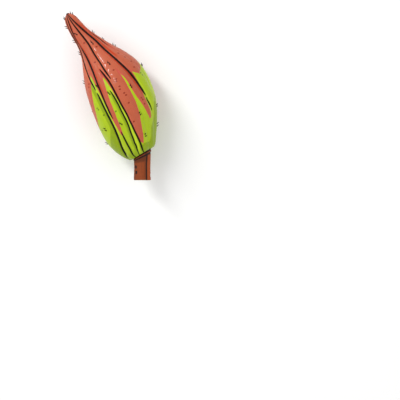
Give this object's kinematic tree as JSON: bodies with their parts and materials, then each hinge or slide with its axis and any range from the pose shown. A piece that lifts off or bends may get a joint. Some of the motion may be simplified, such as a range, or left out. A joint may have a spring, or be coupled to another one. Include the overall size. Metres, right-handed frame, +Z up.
{
  "type": "okra pod",
  "caption": "Fat, ribbed okra pod, red on its beak and ribs and green between them, with short bristles and a stub of brown stalk, lying on its belly",
  "frame": {"origin": "middle of the small flat spot that the pod's belly rests on, below its centre of mass", "axes": "+X from the tip of the beak towards the stalk, +Y to the side the pod's middle line bows to, +Z up, away from the surface it lies on"},
  "size_m": [0.1408, 0.0532, 0.0496],
  "materials": {
    "pod_skin": "satin",
    "stalk_bark": "matte"
  },
  "bodies": {
    "root": {"capsule": "pod_skin", "stalk": "stalk_bark"}
  },
  "joints": []
}
